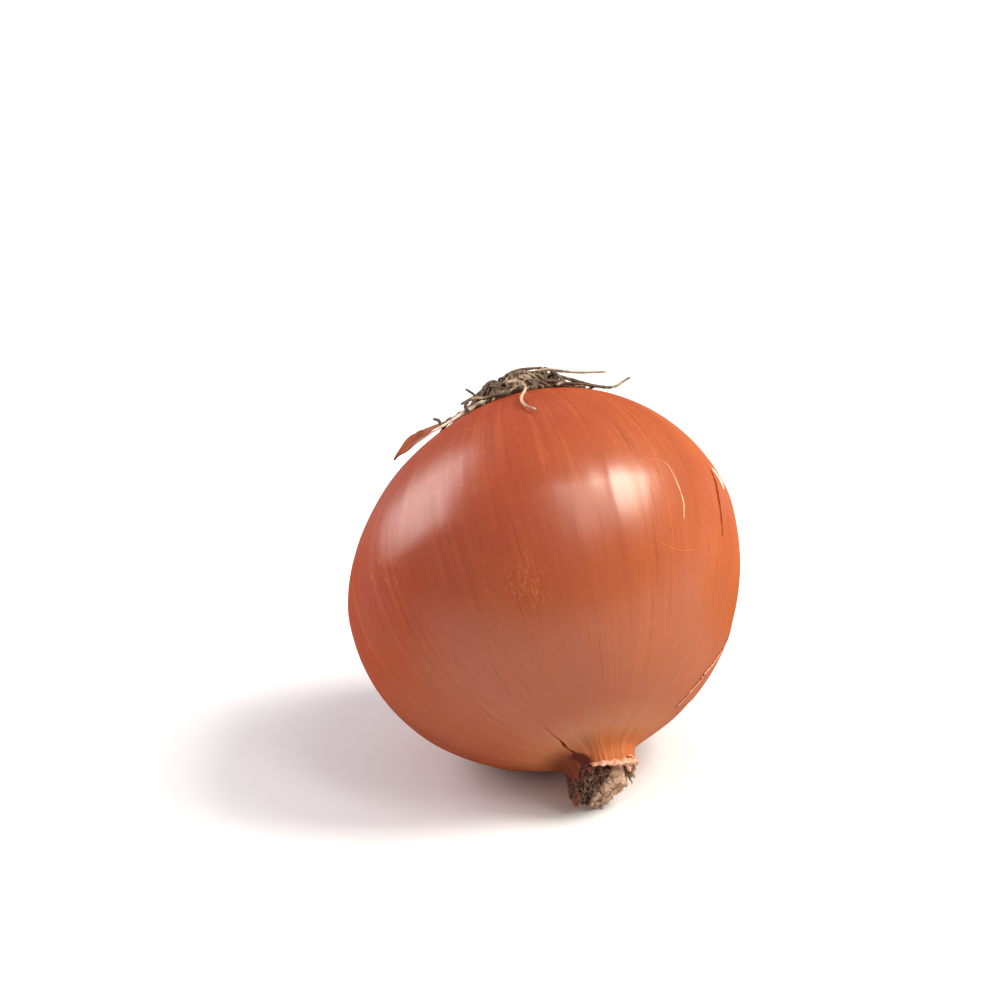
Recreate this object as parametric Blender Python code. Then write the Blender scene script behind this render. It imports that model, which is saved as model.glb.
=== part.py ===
"""A whole yellow onion, dried and trimmed, lying on its side.

The bulb is modelled in its own frame, with +Z along its axis from the root end to the neck and +Y on
its upper flank, and an empty lays it down: the neck points forward (-Y) and down, the root end up and
back. The origin is the middle of the small flat spot that the bulb rests on. Metres, +Z up.
"""
from math import cos, pi, radians, sin

import bmesh
import bpy
import numpy as np

# Bulb
BULB_RADIUS = 0.0417        # at the widest ring
ROOT_HEIGHT = 0.0356        # widest ring to root end
NECK_HEIGHT = 0.0416        # widest ring to where the body closes on the neck
ROOT_FULLNESS = 1.68        # 2 is an ellipse, less is more pointed
NECK_FULLNESS = 2.09
FLANK_LEAN = -0.10          # the widest ring leans towards the root on the +X flank
OVALITY = 0.033             # the widest ring is a little oval
BOW = 0.0020                # how far both ends bend towards +X
AXIS_TILT = 47.0            # degrees that the neck points below level
REST_PRESS = 0.0006         # depth of the flat spot that the bulb rests on
BULB_SIDES = 64
ROOT_RINGS = 18
NECK_RINGS = 22

# Neck
NECK_RADIUS = 0.0074
NECK_STUB = 0.0009          # fleshy neck left beyond the body
NECK_BLEND = 2.4            # higher makes a sharper corner between body and neck
COLLAR_LENGTH = 0.0034
COLLAR_WALL = 0.0006
COLLAR_FOLD = 0.05          # share that its folds go in and out by
COLLAR_TEAR = 0.27          # share that its rim wanders by
SCALE_WALL = 0.0006
SCALE_TUCK = 0.0016         # how far below the collar's rim the torn scales start
CORE_LENGTH = 0.0056
CORE_SLANT = 0.30           # the core is longer on its underside
CORE_CRUMPLE = 0.0004
NECK_SIDES = 40

# Turn round the neck, arc and length of each torn scale, in degrees and metres
NECK_SCALES = (
    (185, 62, 0.0066),
    (262, 70, 0.0062),
    (338, 58, 0.0058),
    (52, 46, 0.0036),
)

# Root end
MAT_RADIUS = 0.0105
MAT_HEIGHT = 0.0036
MAT_RAGGED = 0.06           # share that its outline wanders by
MAT_CENTER = (0.0018, 0.0020)
MAT_SIDES = 36
ROOTLET_RADIUS = 0.00040
ROOTLET_TIP = 0.6           # share of its radius that a rootlet keeps at its tip
ROOTLET_START = 0.55        # share of the mat's radius where a rootlet leaves it
ROOTLET_POINTS = 16

# Turn where each rootlet leaves the mat, turn of its tip, its reach and the tip's height over the skin
ROOTLETS = (
    (64, 46, 0.0218, 0.0036),
    (78, 62, 0.0248, 0.0002),
    (94, 103, 0.0290, 0.0002),
    (124, 138, 0.0182, 0.0038),
    (34, 41, 0.0262, 0.0034),
    (8, 16, 0.0165, 0.0012),
    (340, 352, 0.0190, 0.0022),
    (312, 326, 0.0150, 0.0010),
    (284, 292, 0.0205, 0.0030),
    (254, 266, 0.0160, 0.0006),
    (226, 236, 0.0185, 0.0020),
    (204, 208, 0.0150, 0.0030),
)

# Loose skin
FLAKE_START_TURN = 151      # where it comes out from the mat's edge
FLAKE_TURN = 198            # the way it points
FLAKE_REACH = 0.0190
FLAKE_WIDTH = 0.0070
FLAKE_WALL = 0.0005
FLAKE_LIFT = 0.0024         # height of its tip over the skin
FLAKE_CURL = 0.0014         # how much further its far edge lifts

GAP = 0.0003                # between pieces that touch

NECK_END = NECK_HEIGHT + NECK_STUB


def clear_scene():
    for thing in list(bpy.data.objects):
        bpy.data.objects.remove(thing, do_unlink=True)


def make_material(name, color, roughness):
    material = bpy.data.materials.new(name)
    material.use_nodes = True
    shader = material.node_tree.nodes["Principled BSDF"]
    shader.inputs["Base Color"].default_value = (*color, 1.0)
    shader.inputs["Roughness"].default_value = roughness
    shader.inputs["Metallic"].default_value = 0.0
    return material


def add_piece(name, mesh, material, axis):
    """Put a mesh, drawn in the bulb's own frame, on the bulb's axis as one named piece."""
    mesh.materials.append(material)
    mesh.shade_smooth()
    mesh.set_sharp_from_angle(angle=radians(40))
    piece = bpy.data.objects.new(name, mesh)
    piece.parent = axis
    bpy.context.scene.collection.objects.link(piece)
    return piece


def closed_mesh(name, rings, start, end):
    """Skin a stack of rings (rings x sides x 3) and close it with a fan to a point at each end."""
    count, sides = rings.shape[:2]
    points = np.concatenate([rings.reshape(-1, 3), [start, end]])
    index = np.arange(count * sides).reshape(count, sides)
    across = np.roll(index, -1, axis=1)
    quads = np.stack([index[:-1], across[:-1], across[1:], index[1:]], axis=-1).reshape(-1, 4)
    first, last = count * sides, count * sides + 1
    faces = quads.tolist()
    faces += [(first, b, a) for a, b in zip(index[0].tolist(), across[0].tolist())]
    faces += [(last, a, b) for a, b in zip(index[-1].tolist(), across[-1].tolist())]
    mesh = bpy.data.meshes.new(name)
    mesh.from_pydata(points.tolist(), [], faces)
    return face_outwards(mesh)


def sheet_mesh(name, grid, loop=False):
    """An open sheet over a grid of points (rows x columns x 3), whose columns may meet in a loop."""
    rows, columns = grid.shape[:2]
    index = np.arange(rows * columns).reshape(rows, columns)
    across = np.roll(index, -1, axis=1)
    quads = np.stack([index[:-1], across[:-1], across[1:], index[1:]], axis=-1)
    if not loop:
        quads = quads[:, :-1]
    mesh = bpy.data.meshes.new(name)
    mesh.from_pydata(grid.reshape(-1, 3).tolist(), [], quads.reshape(-1, 4).tolist())
    return mesh


def thicken(piece, wall):
    """Give a sheet its wall, half of it on either side."""
    solid = piece.modifiers.new("wall", "SOLIDIFY")
    solid.thickness = wall
    solid.offset = 0


def face_outwards(mesh):
    shape = bmesh.new()
    shape.from_mesh(mesh)
    bmesh.ops.recalc_face_normals(shape, faces=shape.faces)
    shape.to_mesh(mesh)
    shape.free()
    return mesh


def bulb_radius(height, lift):
    """Distance of the skin from the axis: a fuller-than-round end at the neck, a pointed one at the root,
    and the neck's own radius blended in. Lift moves the surface outwards."""
    half = np.where(height < 0, ROOT_HEIGHT, NECK_HEIGHT) + lift
    fullness = np.where(height < 0, ROOT_FULLNESS, NECK_FULLNESS)
    share = np.clip(np.abs(height) / half, 0, 1)
    body = (BULB_RADIUS + lift) * np.sqrt(1 - share ** fullness)
    neck = np.where(height > 0, (NECK_RADIUS + lift) * share ** 4, 0)
    return (body ** NECK_BLEND + neck ** NECK_BLEND) ** (1 / NECK_BLEND)


def bend(height):
    return BOW * (height / NECK_HEIGHT) ** 2


def skin_point(height, turn, lift=0.0):
    """A point over the bulb's skin, at a height along the axis and a turn round it."""
    radius = bulb_radius(height, lift) * (1 - OVALITY * np.sin(2 * turn))
    x = radius * np.cos(turn) + bend(height)
    return np.stack([x, radius * np.sin(turn), height + FLANK_LEAN * x], axis=-1)


def root_surface(x, y, lift):
    """The point over the root end's skin above a place across the axis, lifted off the skin."""
    across = x - bend(-ROOT_HEIGHT)
    oval = 1 - OVALITY * np.sin(2 * np.arctan2(y, across))
    share = np.hypot(across, y) / oval / (BULB_RADIUS + lift)
    height = -(ROOT_HEIGHT + lift) * (1 - share ** 2) ** (1 / ROOT_FULLNESS)
    return np.stack(np.broadcast_arrays(x, y, height + FLANK_LEAN * x), axis=-1)


def neck_point(radius, height, turn):
    """A point round the neck, above the end of the fleshy neck, which follows the bulb's bend and lean."""
    x = radius * np.cos(turn) + bend(NECK_END)
    return np.stack([x, radius * np.sin(turn), NECK_END + height + FLANK_LEAN * x], axis=-1)


def turns(sides):
    return np.arange(sides) * (2 * pi / sides)


def lay_down():
    """The empty that lays the bulb down, with its lowest point pressed flat at the origin."""
    axis = bpy.data.objects.new("onion_axis", None)
    bpy.context.scene.collection.objects.link(axis)
    tilt = radians(AXIS_TILT)
    height, turn = np.meshgrid(np.linspace(0, NECK_HEIGHT, 400), np.linspace(pi, 2 * pi, 400))
    x, y, z = np.moveaxis(skin_point(height, turn), -1, 0)
    forward = -y * sin(tilt) - z * cos(tilt)
    up = y * cos(tilt) - z * sin(tilt)
    lowest = np.unravel_index(np.argmin(up), up.shape)
    axis.rotation_euler = (radians(90) + tilt, 0, 0)
    axis.location = (-x[lowest], -forward[lowest], -up[lowest] - REST_PRESS)
    return axis


def bulb(axis, material):
    """The fleshy bulb with its tight dry skin, from the root end to the trimmed neck."""
    root = -ROOT_HEIGHT * np.cos(np.linspace(0, pi / 2, ROOT_RINGS + 1)[1:])
    neck = NECK_END * np.sin(np.linspace(0, pi / 2, NECK_RINGS + 1)[1:])
    heights = np.concatenate([root, neck])
    rings = skin_point(*np.meshgrid(heights, turns(BULB_SIDES), indexing="ij"))
    root_end = root_surface(bend(-ROOT_HEIGHT), 0.0, 0.0)
    piece = add_piece("bulb", closed_mesh("bulb", rings, root_end, rings[-1].mean(axis=0)), material, axis)
    flatten = piece.modifiers.new("rest_spot", "BOOLEAN")
    flatten.operation = "DIFFERENCE"
    flatten.object = floor_cutter()


def floor_cutter():
    """A block below the floor, which presses the bulb's rest spot flat."""
    size = 4 * BULB_RADIUS
    mesh = bpy.data.meshes.new("floor_cutter")
    shape = bmesh.new()
    bmesh.ops.create_cube(shape, size=size)
    shape.to_mesh(mesh)
    shape.free()
    cutter = bpy.data.objects.new("floor_cutter", mesh)
    cutter.location = (0, 0, -size / 2)
    cutter.hide_render = True
    cutter.display_type = "WIRE"
    bpy.context.scene.collection.objects.link(cutter)
    return cutter


def neck_collar(axis, material):
    """The outer skins' dry sleeve round the neck, torn off at an uneven rim."""
    height, turn = np.meshgrid(np.linspace(0, 1, 5), turns(NECK_SIDES), indexing="ij")
    tear = 0.5 * np.cos(2 * turn + 1) + 0.3 * np.cos(5 * turn) + 0.2 * np.cos(11 * turn)
    rim = COLLAR_LENGTH * (1 + COLLAR_TEAR * tear)
    fold = 1 + COLLAR_FOLD * (0.6 * height * np.cos(7 * turn) + 0.4 * np.cos(3 * turn + 2))
    radius = (NECK_RADIUS - COLLAR_WALL / 2) * fold
    mesh = sheet_mesh("neck_collar", neck_point(radius, GAP + height * rim, turn), loop=True)
    thicken(add_piece("neck_collar", mesh, material, axis), COLLAR_WALL)


def collar_bore():
    """The clear radius inside the collar's innermost folds."""
    return (NECK_RADIUS - COLLAR_WALL / 2) * (1 - COLLAR_FOLD) - COLLAR_WALL / 2


def neck_core(axis, material):
    """The shrivelled inner leaves, cut off short and dried to a crumpled plug."""
    rise = np.concatenate([np.linspace(0, 1, 6), np.ones(4)])
    spread = np.concatenate([np.ones(6), [0.86, 0.64, 0.40, 0.18]])
    step, turn = np.meshgrid(np.arange(len(rise)), turns(NECK_SIDES), indexing="ij")
    flute = 1 - 0.03 * (1 + np.cos(6 * turn + 1))
    radius = (collar_bore() - SCALE_WALL - 2 * GAP) * flute * spread[step]
    crumple = CORE_CRUMPLE * np.cos(5 * turn + 9 * spread[step]) * (spread[step] < 1)
    end = CORE_LENGTH - CORE_SLANT * radius * np.sin(turn) + crumple
    rings = neck_point(radius, GAP + rise[step] * end, turn)
    start = neck_point(0.0, GAP, 0.0)
    tip = neck_point(0.0, GAP + CORE_LENGTH, 0.0)
    add_piece("neck_core", closed_mesh("neck_core", rings, start, tip), material, axis)


def neck_scale(axis, material, name, turn, arc, length):
    """One torn dry leaf base, between the core and the collar, which ends in a ragged point."""
    along, across = np.meshgrid(np.linspace(0, 1, 7), np.linspace(-1, 1, 9), indexing="ij")
    around = radians(turn) + across * radians(arc / 2) * (1 - 0.45 * along ** 2)
    radius = collar_bore() - GAP - SCALE_WALL / 2
    start = COLLAR_LENGTH - SCALE_TUCK
    reach = (length - start) * (1 - 0.22 * across ** 2 + 0.05 * np.cos(9 * across + turn))
    mesh = sheet_mesh(name, neck_point(radius, start + along * reach, around))
    thicken(add_piece(name, mesh, material, axis), SCALE_WALL)


def mat_outline(turn):
    return MAT_RADIUS * (1 + MAT_RAGGED * (0.6 * np.cos(3 * turn + 0.5) + 0.4 * np.cos(8 * turn)))


def root_mat(axis, material):
    """The corky root plate under a felt of short dried rootlets: a low knobbly cushion."""
    share = np.array([0.25, 0.5, 0.75, 0.93, 1.0, 0.97, 0.85, 0.65, 0.4, 0.2])
    over = np.array([0, 0, 0, 0, 0.25, 0.55, 0.8, 0.93, 1, 1])
    step, turn = np.meshgrid(np.arange(len(share)), turns(MAT_SIDES), indexing="ij")
    reach = mat_outline(turn) * share[step]
    knobs = 1 - 0.10 * (1 + np.cos(5 * turn + 11 * share[step]))
    x = MAT_CENTER[0] + reach * np.cos(turn)
    y = MAT_CENTER[1] + reach * np.sin(turn)
    rings = root_surface(x, y, GAP + MAT_HEIGHT * over[step] * knobs)
    under = root_surface(*MAT_CENTER, GAP)
    top = root_surface(*MAT_CENTER, GAP + MAT_HEIGHT * 0.9)
    add_piece("root_mat", closed_mesh("root_mat", rings, under, top), material, axis)


def rootlet(axis, material, name, leave, tip, reach, hover):
    """One dried rootlet: from the top of the mat, over its edge and out over the skin."""
    along = np.linspace(0, 1, ROOTLET_POINTS)
    start = MAT_RADIUS * ROOTLET_START
    distance = start + (reach - start) * along
    turn = np.radians(leave + (tip - leave) * along ** 2 + 5 * np.sin(2 * pi * along))
    cover = MAT_HEIGHT / (1 + (distance / (MAT_RADIUS * (1 + MAT_RAGGED))) ** 8)
    lift = cover + 2 * GAP + ROOTLET_RADIUS + hover * along ** 2
    points = root_surface(MAT_CENTER[0] + distance * np.cos(turn), MAT_CENTER[1] + distance * np.sin(turn), lift)
    curve = bpy.data.curves.new(name, "CURVE")
    curve.dimensions = "3D"
    curve.bevel_depth = ROOTLET_RADIUS
    curve.bevel_resolution = 1
    curve.use_fill_caps = True
    spline = curve.splines.new("POLY")
    spline.points.add(ROOTLET_POINTS - 1)
    radii = 1 - (1 - ROOTLET_TIP) * along
    for point, place, radius in zip(spline.points, points.tolist(), radii.tolist()):
        point.co = (*place, 1)
        point.radius = radius
    curve.materials.append(material)
    piece = bpy.data.objects.new(name, curve)
    piece.parent = axis
    bpy.context.scene.collection.objects.link(piece)


def skin_flake(axis, material):
    """A strip of outer skin that has split off beside the roots and curls away from the bulb."""
    along, across = np.meshgrid(np.linspace(0, 1, 15), np.linspace(0, 1, 6), indexing="ij")
    leave = MAT_RADIUS * (1 + MAT_RAGGED) + 2 * GAP
    start_turn, point_turn = radians(FLAKE_START_TURN), radians(FLAKE_TURN)
    width = FLAKE_WIDTH * (0.12 + np.sin(pi * along ** 0.75) * 0.88)
    x = MAT_CENTER[0] + leave * cos(start_turn) + FLAKE_REACH * along * cos(point_turn)
    y = MAT_CENTER[1] + leave * sin(start_turn) + FLAKE_REACH * along * sin(point_turn)
    x = x - width * across * sin(point_turn)
    y = y + width * across * cos(point_turn)
    lift = GAP + FLAKE_WALL + FLAKE_LIFT * along ** 2 + FLAKE_CURL * across ** 1.5
    mesh = sheet_mesh("skin_flake", root_surface(x, y, lift))
    thicken(add_piece("skin_flake", mesh, material, axis), FLAKE_WALL)


def main():
    clear_scene()
    skin = make_material("dry_skin", (0.42, 0.13, 0.055), 0.32)
    collar_skin = make_material("collar_skin", (0.55, 0.21, 0.08), 0.55)
    husk = make_material("neck_husk", (0.20, 0.11, 0.06), 0.85)
    root = make_material("dry_root", (0.22, 0.15, 0.09), 0.90)
    flake_skin = make_material("flake_skin", (0.30, 0.07, 0.03), 0.50)
    axis = lay_down()
    bulb(axis, skin)
    neck_collar(axis, collar_skin)
    neck_core(axis, husk)
    for number, (turn, arc, length) in enumerate(NECK_SCALES, 1):
        neck_scale(axis, husk, f"neck_scale_{number:02d}", turn, arc, length)
    root_mat(axis, root)
    for number, (leave, tip, reach, hover) in enumerate(ROOTLETS, 1):
        rootlet(axis, root, f"rootlet_{number:02d}", leave, tip, reach, hover)
    skin_flake(axis, flake_skin)


main()
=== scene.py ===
"""A whole yellow onion, dried and trimmed, lying on its side on a pale floor.

Every piece is drawn in the bulb's own frame, with +Z along its axis from the root end to the neck and +Y
on its upper flank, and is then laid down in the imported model's frame. Metres.
"""
from math import cos, pi, radians, sin

import bpy
import numpy as np
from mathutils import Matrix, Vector


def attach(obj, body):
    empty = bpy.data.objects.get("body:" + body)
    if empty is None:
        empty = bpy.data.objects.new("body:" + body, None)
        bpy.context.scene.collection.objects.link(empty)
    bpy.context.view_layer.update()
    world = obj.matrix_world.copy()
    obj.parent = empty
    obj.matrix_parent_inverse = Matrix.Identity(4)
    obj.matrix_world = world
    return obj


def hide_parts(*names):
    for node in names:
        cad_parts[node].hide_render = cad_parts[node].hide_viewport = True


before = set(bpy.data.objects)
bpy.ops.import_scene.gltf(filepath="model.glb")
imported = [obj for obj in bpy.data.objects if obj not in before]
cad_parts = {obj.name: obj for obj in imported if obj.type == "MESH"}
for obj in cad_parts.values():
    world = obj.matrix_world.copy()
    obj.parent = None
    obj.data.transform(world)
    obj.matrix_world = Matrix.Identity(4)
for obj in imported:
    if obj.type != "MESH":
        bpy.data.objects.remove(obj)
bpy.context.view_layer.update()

# ---------------------------------------------------------------------------------------------------
# Outer skin. The bulb's outermost dry leaves, thin, tight and glossy, with ribs that run from the root
# plate to the neck. They grew as one closed sleeve round the bulb, and past the trimmed neck they stand
# up as a short torn collar.
# ---------------------------------------------------------------------------------------------------
BULB_RADIUS = 0.0417        # at the widest ring
ROOT_HEIGHT = 0.0356        # widest ring to root end
NECK_HEIGHT = 0.0416        # widest ring to where the body closes on the neck
ROOT_FULLNESS = 1.68        # 2 is an ellipse, less is more pointed
NECK_FULLNESS = 2.09
FLANK_LEAN = -0.10          # the widest ring leans towards the root on the +X flank
OVALITY = 0.033
BOW = 0.0020                # how far both ends bend towards +X
AXIS_TILT = radians(47)     # how far the neck points below level
REST_PRESS = 0.0006         # depth of the flat spot that the bulb rests on
NECK_RADIUS = 0.0074
NECK_END = NECK_HEIGHT + 0.0009
NECK_BLEND = 2.4            # higher makes a sharper corner between body and neck
COLLAR_LENGTH = 0.0032
COLLAR_TEAR = 0.20          # share that its rim wanders by
COLLAR_FOLD = 0.05          # share that its folds go in and out by
COLLAR_WALL = 0.0004
NOTCH_TURN = radians(137)   # where the collar is torn half-way down
NOTCH_WIDTH = 0.27          # in radians to either side
NOTCH_DEPTH = 0.52          # share of the collar's length
FOLD_TURN = radians(85.5)   # the long fold down the upper flank
SKIN_SIDES = 440
BODY_ROOT_ROWS = 70         # rings from the root end to the widest one
BODY_NECK_ROWS = 85         # rings from there to the end of the fleshy neck
NECK_ROWS_TURN = 1.42       # how far the sine that spaces them goes: they crowd towards the neck
COLLAR_ROWS = 12
CORNER_ROWS = (22, 6)       # rings before and after the neck's end that its soft corner takes up
CORNER_PASSES = 60          # how often those rings are averaged with their neighbours


def bulb_radius(height, lift):
    """Distance of the skin from the axis: root of (1 - share of the half length to the end's fullness),
    with the neck's own radius blended in as a power sum."""
    half = np.where(height < 0, ROOT_HEIGHT, NECK_HEIGHT) + lift
    fullness = np.where(height < 0, ROOT_FULLNESS, NECK_FULLNESS)
    share = np.clip(np.abs(height) / half, 0, 1)
    body = (BULB_RADIUS + lift) * np.sqrt(1 - share ** fullness)
    neck = np.where(height > 0, (NECK_RADIUS + lift) * share ** 4, 0)
    return (body ** NECK_BLEND + neck ** NECK_BLEND) ** (1 / NECK_BLEND)


def bend(height):
    """Sideways shift of the axis: it grows with the height squared, so both ends lean to +X."""
    return BOW * (height / NECK_HEIGHT) ** 2


def smooth_point(height, turn, lift=0.0):
    """A point over the smooth bulb: radius x cos and sin of the turn, with the axis bent and leant."""
    radius = bulb_radius(height, lift) * (1 - OVALITY * np.sin(2 * turn))
    x = radius * np.cos(turn) + bend(height)
    return np.stack([x, radius * np.sin(turn), height + FLANK_LEAN * x], axis=-1)


def crumple(places, pitch, seed, waves=20):
    """Soft irregular relief, mostly between -1 and 1: the sum of plane waves near one pitch, in all ways."""
    draw = np.random.default_rng(seed)
    way = draw.normal(size=(waves, places.shape[-1]))
    way *= 2 * pi / pitch * draw.uniform(0.6, 1.5, (waves, 1)) / np.linalg.norm(way, axis=1, keepdims=True)
    return np.cos(places @ way.T + draw.uniform(0, 2 * pi, waves)).sum(axis=-1) / waves ** 0.5


def ease(value, start, end):
    """0 before start, 1 after end, and a smooth S between them."""
    share = np.clip((value - start) / (end - start), 0, 1)
    return share * share * (3 - 2 * share)


def skin_relief(height, turn):
    """Height of the real skin over the smooth bulb: broad hollows + ribs along the grain + one long fold,
    steep on its near side. It fades out towards both ends."""
    calm = ease(height, -0.034, -0.022) * ease(-height, -0.0410, -0.030)
    broad = 0.00014 * crumple(smooth_point(height, turn), 0.036, 11)
    grain = np.stack([np.cos(turn), np.sin(turn), height * 3], axis=-1) * BULB_RADIUS
    ribs = 0.000018 * crumple(grain, 0.0050, 12) + 0.000009 * crumple(grain, 0.0024, 13, 30)
    aside = BULB_RADIUS * (turn - FOLD_TURN - 0.012 * np.sin(height * 260))
    fold = np.exp(-np.abs(aside) / np.where(aside < 0, 0.0070, 0.0011))
    fold = 0.00024 * fold * np.exp(-((height - 0.004) / 0.0125) ** 4)
    return calm * (broad + fold) + ribs * ease(height, -0.035, -0.028)


def skin_point(height, turn, lift=0.0):
    """A point over the real skin: the smooth bulb raised by the relief and by the lift."""
    return smooth_point(height, turn, skin_relief(height, turn) + lift)


def neck_point(radius, height, turn):
    """A point round the neck: a radius from the bent axis, and a height above the end of the fleshy neck."""
    x = radius * np.cos(turn) + bend(NECK_END)
    return np.stack([x, radius * np.sin(turn), NECK_END + height + FLANK_LEAN * x], axis=-1)


def turn_axis(points):
    """Turns the bulb's frame to the floor's: y and z go round x, so that the neck points forward and down."""
    x, y, z = np.moveaxis(np.asarray(points, float), -1, 0)
    forward = -y * sin(AXIS_TILT) - z * cos(AXIS_TILT)
    up = y * cos(AXIS_TILT) - z * sin(AXIS_TILT)
    return np.stack([x, forward, up], axis=-1)


belly_grid = np.meshgrid(np.linspace(0, NECK_HEIGHT, 400), np.linspace(pi, 2 * pi, 400))
belly = turn_axis(smooth_point(*belly_grid)).reshape(-1, 3)
axis_place = -belly[belly[:, 2].argmin()] - (0, 0, REST_PRESS)


def lay_down(points):
    """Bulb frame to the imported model's frame: turned, moved onto the belly, and never below the floor."""
    laid = turn_axis(points) + axis_place
    laid[..., 2] = np.maximum(laid[..., 2], 0)
    return laid


def grid_faces(rows, columns, loop=False):
    """Quads between neighbouring rows and columns; the last column meets the first in a loop."""
    index = np.arange(rows * columns).reshape(rows, columns)
    across = np.roll(index, -1, axis=1)
    quads = np.stack([index[:-1], across[:-1], across[1:], index[1:]], axis=-1)
    return (quads if loop else quads[:, :-1]).reshape(-1, 4)


def capped_rings(rings, ends=None):
    """Points and faces of a stack of rings, with a fan at each end to the end's own point, or else to the
    middle of the last ring there."""
    count, sides = rings.shape[:2]
    ends = (rings[0].mean(axis=0), rings[-1].mean(axis=0)) if ends is None else ends
    faces = grid_faces(count, sides, loop=True).tolist()
    start, last_ring = count * sides, (count - 1) * sides
    faces += [(start, (i + 1) % sides, i) for i in range(sides)]
    faces += [(start + 1, last_ring + i, last_ring + (i + 1) % sides) for i in range(sides)]
    return np.concatenate([rings.reshape(-1, 3), ends]), faces


def make_piece(name, points, faces, finish, marks=None, wall=0.0, replaces=()):
    """A smooth-shaded piece on the root body, from points in the bulb's frame. Marks are values by point."""
    mesh = bpy.data.meshes.new(name)
    mesh.from_pydata(lay_down(points).tolist(), [], [list(face) for face in faces])
    for mark, values in (marks or {}).items():
        kind, key = ("FLOAT", "value") if np.ndim(values) == 1 else ("FLOAT_VECTOR", "vector")
        mesh.attributes.new(mark, kind, "POINT").data.foreach_set(key, np.ravel(values).astype(np.float32))
    mesh.materials.append(finish)
    mesh.shade_smooth()
    piece = bpy.data.objects.new(name, mesh)
    bpy.context.scene.collection.objects.link(piece)
    if wall:
        solid = piece.modifiers.new("wall", "SOLIDIFY")
        solid.thickness = wall
        solid.offset = 0
    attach(piece, "root")
    if replaces:
        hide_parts(*replaces)


class Signal:
    """A value, colour or vector on its way through a finish. Arithmetic on it adds Math nodes."""

    def __init__(self, tree, socket=None):
        self.tree = tree
        self.socket = socket

    def node(self, kind, settings=None, sockets=None, output=0):
        """Adds a node of that type: its settings first, then a value or a link on each named socket."""
        made = self.tree.nodes.new(kind)
        for name, value in (settings or {}).items():
            setattr(made, name, value)
        for name, value in (sockets or {}).items():
            if isinstance(value, Signal):
                self.tree.links.new(value.socket, made.inputs[name])
            elif value is not None:
                made.inputs[name].default_value = value
        return Signal(self.tree, made.outputs[output])

    def mark(self, name, vector=False):
        """One of the piece's own marks: a value by point, or a vector by point."""
        return self.node("ShaderNodeAttribute", {"attribute_name": name}, output=1 if vector else 2)

    def place(self):
        """Where the point is on the piece, in metres."""
        return self.node("ShaderNodeTexCoord", output=3)

    def math(self, operation, first, second):
        return self.node("ShaderNodeMath", {"operation": operation}, {0: first, 1: second})

    def __add__(self, other):
        return self.math("ADD", self, other)

    __radd__ = __add__

    def __mul__(self, other):
        return self.math("MULTIPLY", self, other)

    __rmul__ = __mul__

    def __sub__(self, other):
        return self.math("SUBTRACT", self, other)

    def __rsub__(self, other):
        return self.math("SUBTRACT", other, self)

    def __abs__(self):
        return self.node("ShaderNodeMath", {"operation": "ABSOLUTE"}, {0: self})

    def between(self, start, end):
        """0 before start, 1 after end, smooth between."""
        return self.node("ShaderNodeMapRange", {"interpolation_type": "SMOOTHSTEP"},
                         {"Value": self, "From Min": start, "From Max": end})

    def mix(self, off, on):
        """The colour off where this is 0 and on where it is 1."""
        colours = [c if isinstance(c, Signal) else (*c, 1) for c in (off, on)]
        return self.node("ShaderNodeMix", {"data_type": "RGBA"}, {0: self, 6: colours[0], 7: colours[1]}, 2)

    def noise(self, stretch, detail=2.0, rough=0.5):
        """Fractal noise on this vector, stretched along each of its axes first."""
        stretched = self.node("ShaderNodeVectorMath", {"operation": "MULTIPLY"}, {0: self, 1: stretch})
        return self.node("ShaderNodeTexNoise", None,
                         {"Vector": stretched, "Scale": 1.0, "Detail": detail, "Roughness": rough})

    def part(self, axis):
        """One axis of this vector."""
        return self.node("ShaderNodeSeparateXYZ", None, {0: self}, "XYZ".index(axis))

    def near(self, spot, reach):
        """1 at a spot in the bulb's frame, falling to 0 at a reach from it."""
        away = self.node("ShaderNodeVectorMath", {"operation": "DISTANCE"},
                         {0: self, 1: tuple(lay_down(spot))}, 1)
        return away.between(reach, 0)


def new_finish(name, constants):
    """A material whose unchanging values sit on the shader, and a Signal to start its patterns from."""
    finish = bpy.data.materials.new(name)
    finish.use_nodes = True
    shader = finish.node_tree.nodes["Principled BSDF"]
    for socket, value in constants.items():
        shader.inputs[socket].default_value = value
    return finish, Signal(finish.node_tree)


def feed(finish, **links):
    """Links signals to the shader. A relief is given as (height signal, depth in metres)."""
    tree = finish.node_tree
    shader = tree.nodes["Principled BSDF"].inputs
    sockets = {"colour": "Base Color", "roughness": "Roughness", "coat": "Coat Weight", "relief": "Normal"}
    for role, value in links.items():
        if role == "relief":
            height, depth = value
            value = height.node("ShaderNodeBump", None, {"Distance": depth, "Height": height})
        tree.links.new(value.socket, shader[sockets[role]])


def skin_grain(height, turn):
    """Coordinates that run with the skin's fibres: cos and sin of the turn, and height in bulb radii."""
    return np.stack(np.broadcast_arrays(np.cos(turn), np.sin(turn), height / BULB_RADIUS), axis=-1)


RED_BROWN = (0.275, 0.038, 0.010)
ORANGE = (0.47, 0.105, 0.025)
PALE_VEIN = (0.62, 0.19, 0.060)
DARK_NERVE = (0.19, 0.028, 0.009)
BROWN_DASH = (0.14, 0.032, 0.012)
TAN_FLECK = (0.62, 0.24, 0.11)
WAX_LOSS = 0.66             # share of the gloss that is gone where the skin is seen edge on


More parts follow.
